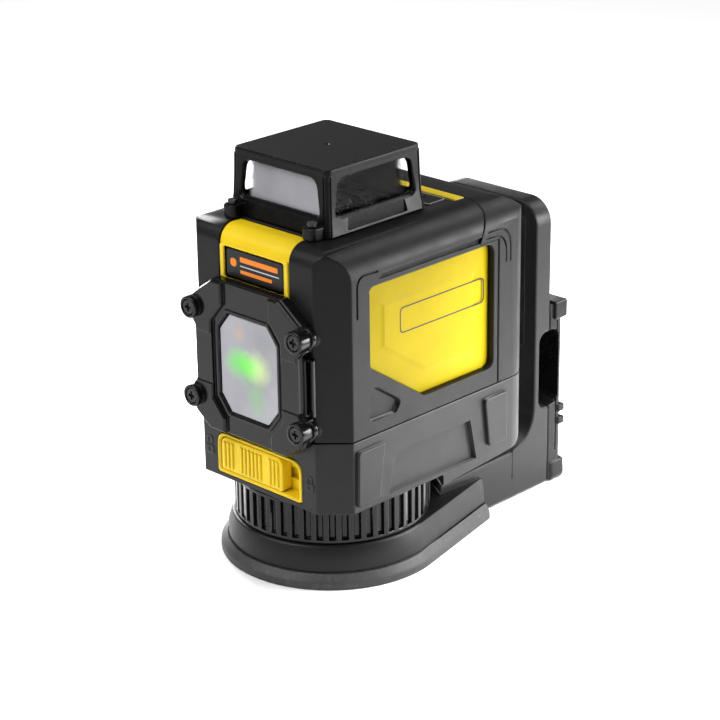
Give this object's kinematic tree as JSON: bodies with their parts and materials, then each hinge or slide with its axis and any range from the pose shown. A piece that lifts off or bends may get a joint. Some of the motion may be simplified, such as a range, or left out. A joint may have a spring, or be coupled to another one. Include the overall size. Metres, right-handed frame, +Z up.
{
  "type": "rotating laser level",
  "caption": "Self-levelling line laser with a glazed lens cage and front window, turning on a ribbed ring over a round foot and magnetic L-bracket.",
  "frame": {"origin": "middle of the footprint on the ground, under the housing between the swivel axis and the upright", "axes": "+Z up, -Y towards the front window, +Y towards the bracket's upright, +X to the right-hand side of the housing seen from behind it; the swivel axis is vertical through x 0, y -31.3 mm"},
  "size_m": [0.0866, 0.1546, 0.159],
  "materials": {
    "sole_rubber": "matt moulded rubber",
    "bracket_plastic": "satin moulded plastic",
    "black_plastic": "satin black moulded plastic",
    "gloss_black": "glossy black moulded plastic",
    "magnet_steel": "nickel plated magnet",
    "steel": "turned steel",
    "black_steel": "black oxide screw",
    "brass": "turned brass",
    "aluminium": "die-cast aluminium",
    "housing_grey": "dark grey fine-textured moulded plastic",
    "badge_yellow": "satin lemon yellow insert",
    "trim_yellow": "satin golden yellow plastic",
    "button_rubber": "soft silicone rubber",
    "clear_glass": "clear window glass",
    "cone_mirror": "polished cone mirror",
    "circuit_green": "solder mask on a circuit board",
    "cell_wrap": "shrink-wrapped battery pack"
  },
  "bodies": {
    "bracket": {"base_sole": "sole_rubber", "bracket_frame": "bracket_plastic", "wall_block": "black_plastic", "wall_magnet_1": "magnet_steel", "wall_magnet_2": "magnet_steel", "wall_magnet_3": "magnet_steel", "wall_magnet_4": "magnet_steel", "bracket_screw_1": "black_steel", "bracket_screw_2": "black_steel", "tripod_insert": "brass", "pivot_screw": "steel"},
    "instrument": {"swivel_hub": "aluminium", "mounting_stud": "steel", "swivel_ring": "gloss_black", "lower_shell": "housing_grey", "upper_shell": "housing_grey", "rear_cover": "housing_grey", "socket_insert": "brass", "side_badge_right": "badge_yellow", "side_badge_left": "badge_yellow", "front_label": "trim_yellow", "top_trim": "trim_yellow", "keypad_panel": "black_plastic", "window_bezel": "gloss_black", "window_glass": "clear_glass", "window_gasket": "button_rubber", "bezel_screw_1": "black_steel", "bezel_screw_2": "black_steel", "bezel_screw_3": "black_steel", "bezel_screw_4": "black_steel", "lock_tray": "trim_yellow", "lens_cage": "black_plastic", "cage_pane_front": "clear_glass", "cage_pane_right": "clear_glass", "cage_pane_rear": "clear_glass", "cage_pane_left": "clear_glass", "cage_screw_1": "black_steel", "cage_screw_2": "black_steel", "gimbal_frame": "aluminium", "gimbal_bearing_right": "steel", "gimbal_bearing_left": "steel", "damping_plate": "aluminium", "main_board": "circuit_green", "battery_pack": "cell_wrap"},
    "battery_cover": {"battery_door": "housing_grey"},
    "lock_slide": {"lock_thumb": "trim_yellow"},
    "lock_lifter": {"lock_pad": "black_plastic"},
    "button_left": {"line_button_left": "button_rubber"},
    "button_right": {"line_button_right": "button_rubber"},
    "gimbal": {"gimbal_ring": "aluminium"},
    "pendulum": {"pendulum_frame": "aluminium", "counterweight": "brass", "damping_magnet": "magnet_steel", "top_laser_barrel": "black_plastic", "top_lens_tube": "clear_glass", "top_cone_mirror": "cone_mirror", "front_laser_barrel": "black_plastic", "front_lens_tube": "clear_glass", "front_cone_mirror": "cone_mirror"}
  },
  "joints": [
    {"name": "swivel", "type": "hinge", "parent": "bracket", "child": "instrument", "pos_m": [0, -0.0313, 0.02], "axis": [0, 0, 1], "continuous": true},
    {"name": "battery_door_slide", "type": "slide", "parent": "instrument", "child": "battery_cover", "axis": [0, 0, -1], "range_m": [0, 0.01]},
    {"name": "lock_thumb_slide", "type": "slide", "parent": "instrument", "child": "lock_slide", "axis": [1, 0, 0], "range_m": [0, 0.0082]},
    {"name": "lock_pad_lift", "type": "slide", "parent": "instrument", "child": "lock_lifter", "axis": [0, 0, 1], "range_m": [0, 0.002]},
    {"name": "button_left_press", "type": "slide", "parent": "instrument", "child": "button_left", "axis": [0, 0, -1], "range_m": [0, 0.0007], "stiffness_N_per_m": 400},
    {"name": "button_right_press", "type": "slide", "parent": "instrument", "child": "button_right", "axis": [0, 0, -1], "range_m": [0, 0.0007], "stiffness_N_per_m": 400},
    {"name": "gimbal_roll", "type": "hinge", "parent": "instrument", "child": "gimbal", "pos_m": [0, -0.0313, 0.112], "axis": [1, 0, 0], "range_deg": [-4, 4]},
    {"name": "pendulum_roll", "type": "hinge", "parent": "gimbal", "child": "pendulum", "pos_m": [0, -0.0313, 0.112], "axis": [0, 1, 0], "range_deg": [-4, 4]}
  ],
  "couplings": [
    {"joint": "lock_pad_lift", "follows": "lock_thumb_slide", "ratio": 0.2439}
  ]
}
